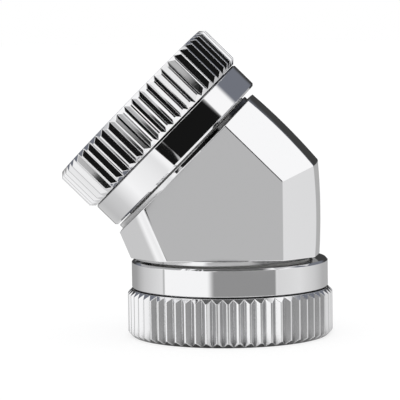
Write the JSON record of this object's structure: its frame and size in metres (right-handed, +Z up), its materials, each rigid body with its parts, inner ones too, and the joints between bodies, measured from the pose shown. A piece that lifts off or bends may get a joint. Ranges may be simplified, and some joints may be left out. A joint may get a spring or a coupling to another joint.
{
  "type": "tube elbow fitting",
  "caption": "Chromed 45 degree tube elbow: a faceted body with a knurled compression nut at each swivelling end, which clamps rigid tube against rubber rings.",
  "frame": {"origin": "centre of the lower port's mouth, on the axis of the lower arm, in the plane of the lower nut's end face", "axes": "+Z up the lower arm's axis towards the bend; the upper arm leans 45 degrees towards -X; the plane through both arms is XZ, and -Y is the front"},
  "size_m": [0.0288, 0.022, 0.0324],
  "materials": {
    "chrome_body": "polished chrome plate on a faceted brass casting",
    "chrome_socket": "polished chrome plate on turned brass",
    "chrome_nut": "polished chrome plate on a fluted brass nut",
    "seal_rubber": "matt black moulded rubber",
    "white_plastic": "waxy white low-friction plastic",
    "spring_steel": "drawn stainless wire"
  },
  "bodies": {
    "elbow": {"elbow_body": "chrome_body", "lower_thrust_washer": "white_plastic", "upper_thrust_washer": "white_plastic"},
    "lower_socket": {"lower_swivel_socket": "chrome_socket", "lower_inner_stem_o_ring": "seal_rubber", "lower_outer_stem_o_ring": "seal_rubber", "lower_snap_ring": "spring_steel", "lower_inner_tube_o_ring": "seal_rubber", "lower_outer_tube_o_ring": "seal_rubber", "lower_compression_o_ring": "seal_rubber"},
    "lower_slip_washer": {"lower_slip_washer": "white_plastic"},
    "lower_nut": {"lower_knurled_nut": "chrome_nut"},
    "upper_socket": {"upper_swivel_socket": "chrome_socket", "upper_inner_stem_o_ring": "seal_rubber", "upper_outer_stem_o_ring": "seal_rubber", "upper_snap_ring": "spring_steel", "upper_inner_tube_o_ring": "seal_rubber", "upper_outer_tube_o_ring": "seal_rubber", "upper_compression_o_ring": "seal_rubber"},
    "upper_slip_washer": {"upper_slip_washer": "white_plastic"},
    "upper_nut": {"upper_knurled_nut": "chrome_nut"}
  },
  "joints": [
    {"name": "lower_swivel", "type": "hinge", "parent": "elbow", "child": "lower_socket", "pos_m": [0, 0, 0.01465], "axis": [0, 0, -1], "continuous": true},
    {"name": "lower_washer_slide", "type": "slide", "parent": "lower_socket", "child": "lower_slip_washer", "axis": [0, 0, -1], "range_m": [0, 0.00225]},
    {"name": "lower_nut_turn", "type": "hinge", "parent": "lower_slip_washer", "child": "lower_nut", "pos_m": [0, 0, 0.01465], "axis": [0, 0, -1], "range_deg": [0, 1080]},
    {"name": "upper_swivel", "type": "hinge", "parent": "elbow", "child": "upper_socket", "pos_m": [0, 0, 0.01465], "axis": [-0.7071, 0, 0.7071], "continuous": true},
    {"name": "upper_washer_slide", "type": "slide", "parent": "upper_socket", "child": "upper_slip_washer", "axis": [-0.7071, 0, 0.7071], "range_m": [0, 0.00225]},
    {"name": "upper_nut_turn", "type": "hinge", "parent": "upper_slip_washer", "child": "upper_nut", "pos_m": [0, 0, 0.01465], "axis": [-0.7071, 0, 0.7071], "range_deg": [0, 1080]}
  ],
  "couplings": [
    {"joint": "lower_washer_slide", "follows": "lower_nut_turn", "m_per_rad": 0.00011937},
    {"joint": "upper_washer_slide", "follows": "upper_nut_turn", "m_per_rad": 0.00011937}
  ]
}
